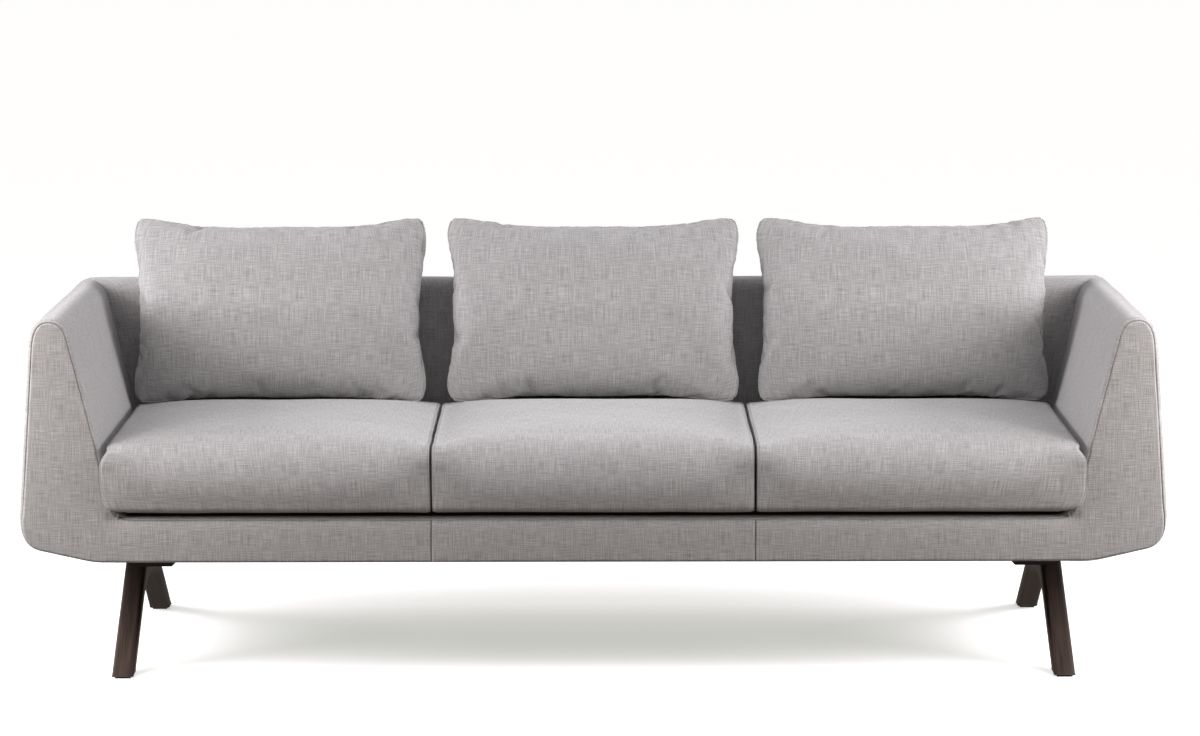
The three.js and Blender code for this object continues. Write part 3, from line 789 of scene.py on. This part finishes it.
def seat_cushion(which, seed):
    low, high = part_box(f"seat_cushion_{which}")
    base, ease = low.z, -0.6 * MM
    lean = lambda z: SEAT_SLANT * (SEAT_RISE - np.clip(z - base, 0, SEAT_RISE)) + 1.2 * MM
    x_low = lambda z: low.x + ease + (lean(z) if which == "left" else 0 * z)
    x_high = lambda z: high.x - ease - (lean(z) if which == "right" else 0 * z)
    rings, across = seat_rings(x_low, x_high)
    obj = loft(f"seat_cushion_{which}_cover", rings, across)
    tidy(obj, 2e-5)
    def held(co):
        near = np.minimum(co[:, 0] - x_low(co[:, 2]), x_high(co[:, 2]) - co[:, 0])
        return (co[:, 2] < base + 9 * MM) | (near < SEAT_EDGE + 4 * MM)
    puff(obj, held, cap=11 * MM)
    side = {"left": -1, "right": 1}.get(which)
    soften(obj, 1.6 * MM, 0.12, seed)
    co = get_points(obj)
    sides = x_low(co[:, 2]), x_high(co[:, 2])
    co[:, 0] = np.clip(co[:, 0], sides[0] - 0.4 * MM, sides[1] + 0.4 * MM)
    co[:, 1] = np.maximum(co[:, 1], FRONT - SEAT_PROUD - 4 * MM)
    set_points(obj, co)
    if side:
        overhang(obj, base, side)
    gathers(obj, base, FRONT - SEAT_PROUD, [side * 0.93] if side else [-SPLIT, SPLIT])
    co = get_points(obj)
    co[:, 2] = np.maximum(co[:, 2], base + 0.5 * MM)
    set_points(obj, co)
    return obj


def seats():
    for seed, which in enumerate(("left", "centre", "right")):
        obj = seat_cushion(which, seed + 20)
        dress(obj, CUSHION_CLOTH, f"seat_{which}", "cushion_fabric", f"seat_cushion_{which}")


PILLOW = {"width": 0.603, "height": 0.382, "thickness": 0.136, "rest": 0.226, "bottom": 0.458}
PILLOW_CUT = (0.625, 0.405)   # width and height of the flat cloth
PILLOW_SHIFT = {"left": -7 * MM, "centre": 0, "right": 0}
PILLOW_BACK = 0.9             # where the cloth of a pillow's back starts, along from its front


def pillow_cut(seed):
    """The flat cloth of a pillow, front and back sewn together. It is a little wider than the pillow it
    makes, and its edges are cut bowed so that they end up nearly straight."""
    (width, height), corner = PILLOW_CUT, 9 * MM
    rim = np.array([0, 3, 6, 9, 13, 19]) * MM

    def along(size):
        inner = np.linspace(rim[-1], size - rim[-1], int((size - 2 * rim[-1]) / (8 * MM)) + 1)
        return np.concatenate([rim[:-1], inner, size - rim[-2::-1]])

    def bow(t, edge, middle):
        return edge * (1 - t ** 8) + middle * (1 - t * t)

    us, vs = along(width), along(height)
    cols = len(vs)
    points, faces, uvs = [], [], []
    for side in (-1, 1):
        for a in us:
            for b in vs:
                x, z = a - width / 2, b - height / 2
                u, v = 2 * x / width, 2 * z / height
                over = [max(abs(p) - size / 2 + corner, 0) / corner for p, size in ((x, width), (z, height))]
                if min(over) > 0:
                    pull = 1 - max(over) / math.hypot(*over)
                    x -= math.copysign(over[0] * pull * corner, x)
                    z -= math.copysign(over[1] * pull * corner, z)
                swell = math.sqrt(max(0, (1 - u * u) * (1 - v * v)))
                x += math.copysign(1, x) * bow(v, 10 * MM, 12 * MM) * abs(u)
                z += (bow(u, 10 * MM, -2 * MM) if v > 0 else -bow(u, 12 * MM, 6 * MM)) * abs(v)
                wander = noise.noise(Vector((x * 25 + seed * 7, side * 3 + seed, z * 25)))
                y = side * 14 * MM * swell + (0.4 * MM * wander if swell > 0 else 0)
                points.append((x, y, z))
        base = 0 if side < 0 else len(us) * cols
        for i in range(len(us) - 1):
            for j in range(cols - 1):
                ids = [(i, j), (i + 1, j), (i + 1, j + 1), (i, j + 1)]
                faces.append(tuple(base + m * cols + n for m, n in ids))
                uvs += [(us[m] + (side > 0) * PILLOW_BACK, vs[n]) for m, n in ids]
    return points, faces, uvs


def calm_edge(co, flat, rim, keep=0.2, reach=20 * MM):
    """Evens out the waves along each side of the sewn edge, all but a `keep` share of them, and draws the
    cloth within `reach` along. `flat` is the cloth as it was cut."""
    half = np.array(PILLOW_CUT) / 2
    shares = flat[rim][:, [0, 2]] / half
    shift = np.zeros((len(rim), 3))
    for axis, sign in ((0, -1), (0, 1), (1, -1), (1, 1)):
        across, along = shares[:, axis], shares[:, 1 - axis]
        side = np.flatnonzero((abs(across) > abs(along)) & (across * sign > 0))
        at, edge = along[side], co[rim[side]]
        even = np.stack([np.polyval(np.polyfit(at, edge[:, k], 6), at) for k in range(3)], 1)
        ease = np.clip((1 - abs(at)) / 0.12, 0, 1)
        shift[side] = (even - edge) * (1 - keep) * ease[:, None]
    gaps = np.linalg.norm(flat[:, None, [0, 2]] - flat[None, rim][..., [0, 2]], axis=2)
    nearest = gaps.argmin(1)
    fade = np.exp(-(gaps.min(1) / reach) ** 2)
    return co + shift[nearest] * fade[:, None]


def pillow(which, seed):
    low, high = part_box(f"back_pillow_{which}")
    obj = new_object(f"back_pillow_{which}_cover", *pillow_cut(seed))
    tidy(obj)
    co = get_points(obj)
    rim = [v.index for v in obj.data.vertices if abs(v.co.y) < 1e-7]
    co = run_cloth(obj, 40, 4.0, 15.0, 0.5, gathered=rim, gather=0.015, full=0.14)
    co = calm_edge(co, get_points(obj), np.array(rim))
    co -= (co.max(0) + co.min(0)) / 2
    co *= np.array([PILLOW["width"], PILLOW["thickness"], PILLOW["height"]]) / np.ptp(co, axis=0)
    belly = 1 - 0.28 * abs(2 * co[:, 2] / PILLOW["height"]) ** 1.2
    co[:, 1] = np.where(co[:, 1] < 0, co[:, 1] * belly, co[:, 1])
    co[:, 2] += PILLOW["height"] / 2
    c, s = math.cos(PILLOW_LEAN), math.sin(PILLOW_LEAN)
    place = np.array([(low.x + high.x) / 2 + PILLOW_SHIFT[which], PILLOW["rest"], PILLOW["bottom"]])
    co = np.stack([co[:, 0], co[:, 1] * c + co[:, 2] * s, co[:, 2] * c - co[:, 1] * s], 1) + place
    set_points(obj, co)
    refine(obj)
    corded_edge(obj)
    return obj


def corded_edge(obj, cord=3 * MM, groove=7.5 * MM):
    """The sewn edge of a pillow: a thin cord of cloth with a groove beside it, and fine puckers."""
    layer = obj.data.uv_layers["cloth"].data
    uv = np.zeros(2 * len(layer))
    layer.foreach_get("uv", uv)
    corners = np.zeros(len(layer), int)
    obj.data.loops.foreach_get("vertex_index", corners)
    place = np.zeros((len(obj.data.vertices), 2))
    place[corners] = uv.reshape(-1, 2)
    place[:, 0] = np.where(place[:, 0] > PILLOW_CUT[0] + 1 * MM, place[:, 0] - PILLOW_BACK, place[:, 0])
    margins = np.concatenate([place, np.array(PILLOW_CUT) - place], 1)
    edge = margins.min(1)
    along = np.where(margins.argmin(1) % 2 == 0, place[:, 1], place[:, 0]) + 2 * margins.argmin(1)
    wave = np.array([noise.noise(Vector((a / (9 * MM), 3.1, 0.4))) for a in along])
    rise = 0.7 * MM * np.exp(-((edge - cord) / (2.2 * MM)) ** 2)
    rise -= 1.5 * MM * np.exp(-((edge - groove) / (2.0 * MM)) ** 2)
    rise += 1.1 * MM * wave * np.exp(-np.clip(edge - groove, 0, None) / (11 * MM)) * (edge > cord)
    set_points(obj, get_points(obj) + get_normals(obj) * rise[:, None])


def pillows():
    for seed, which in enumerate(("left", "centre", "right")):
        obj = pillow(which, seed + 30)
        dress(obj, CUSHION_CLOTH, f"pillow_{which}", "cushion_fabric", f"back_pillow_{which}")


# ---- the rest of the frame ----------------------------------------------------------------
def cad_finishes():
    """Finishes for the CAD nodes that stay. Each one's plain material is named after its slot."""
    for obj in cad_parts.values():
        if not obj.hide_render:
            slot = obj.material_slots[0]
            slot.material = CAD_FINISH[slot.material.name.split(".")[0]]


# ---- studio -------------------------------------------------------------------------------
ZENITH, HORIZON, BELOW = (0.86, 0.846, 0.895, 1), (0.06, 0.06, 0.06, 1), (0.27, 0.235, 0.212, 1)
FLOOR_HALF = 100
FLOOR_GLOW = 0.535
# softboxes: place, where each points, size, power in watts and colour; near and far come in pairs
OVERHEAD = ((0, -1.3, 2.4), (0, -0.2, 0.3), (2.8, 0.8), 6, (0.98, 0.965, 1))
NEAR = ((1.75, -1.25, 1.1), (1.0, -0.3, 0.45), (0.6, 0.8), 17, (1, 0.96, 0.925))
FAR = ((3.4, -0.6, 1.5), (0, -0.1, 0.5), (1.6, 1.2), 126, (0.975, 0.955, 1))


def studio():
    """Soft light from the sky and five softboxes, over a pale floor. The floor throws no light on the sofa:
    the lower half of the sky stands for what it would throw back."""
    scene = bpy.context.scene
    scene.view_settings.view_transform = "Standard"
    world = bpy.data.worlds.new("studio")
    scene.world = world
    world.use_nodes = True
    tree = world.node_tree
    sky = tree.nodes["Background"]
    direction = node(tree, "TexCoord").outputs["Generated"]
    height = node(tree, "SeparateXYZ", {0: direction}).outputs[2]
    tint = node(tree, "ValToRGB", {0: maths(tree, "MULTIPLY_ADD", height, 0.5, 0.5)})
    stops = tint.color_ramp.elements
    stops[0].position, stops[0].color = 0.48, BELOW
    stops[1].position, stops[1].color = 1.0, ZENITH
    level = stops.new(0.52)
    level.color = HORIZON
    tree.links.new(tint.outputs[0], sky.inputs[0])
    sky.inputs[1].default_value = 1.0

    floor_mesh = bpy.data.meshes.new("floor")
    corners = [(x * FLOOR_HALF, y * FLOOR_HALF, 0) for x, y in ((-1, -1), (1, -1), (1, 1), (-1, 1))]
    floor_mesh.from_pydata(corners, [], [(0, 1, 2, 3)])
    floor = bpy.data.objects.new("floor", floor_mesh)
    scene.collection.objects.link(floor)
    floor_finish, _, _ = new_material(
        "pale_floor", Base_Color=(0.8, 0.8, 0.8, 1), Roughness=0.8,
        Emission_Color=(1, 1, 0.94, 1), Emission_Strength=FLOOR_GLOW)
    floor.visible_diffuse = floor.visible_glossy = floor.visible_shadow = False
    floor_mesh.materials.append(floor_finish)

    def softbox(name, place, target, size, power, colour):
        light = bpy.data.lights.new(name, "AREA")
        light.shape = "RECTANGLE"
        light.size, light.size_y = size
        light.energy = power
        light.color = colour
        obj = bpy.data.objects.new(name, light)
        scene.collection.objects.link(obj)
        obj.location = place
        obj.visible_camera = False
        obj.rotation_euler = (Vector(target) - Vector(place)).to_track_quat("-Z", "Y").to_euler()

    softbox("overhead", *OVERHEAD)
    for side in (-1, 1):
        for name, (place, target, *rest) in (("near", NEAR), ("far", FAR)):
            softbox(name, (side * place[0], *place[1:]), (side * target[0], *target[1:]), *rest)


CAMERA_PLACE = (0, -9.728, 1.684)
CAMERA_TILT = math.radians(90 - 6.62)
CAMERA_ROLL = math.radians(0.11)


def camera():
    """A long lens at the angle of the photograph."""
    data = bpy.data.cameras.new("camera")
    data.sensor_width = 36
    data.lens = 145.6
    data.shift_x = 1 / 150
    data.clip_end = 2 * FLOOR_HALF
    obj = bpy.data.objects.new("camera", data)
    bpy.context.scene.collection.objects.link(obj)
    obj.location = CAMERA_PLACE
    obj.rotation_euler = (CAMERA_TILT, CAMERA_ROLL, 0)
    bpy.context.scene.camera = obj


camera()
studio()
shell()
legs()
seats()
pillows()
cad_finishes()
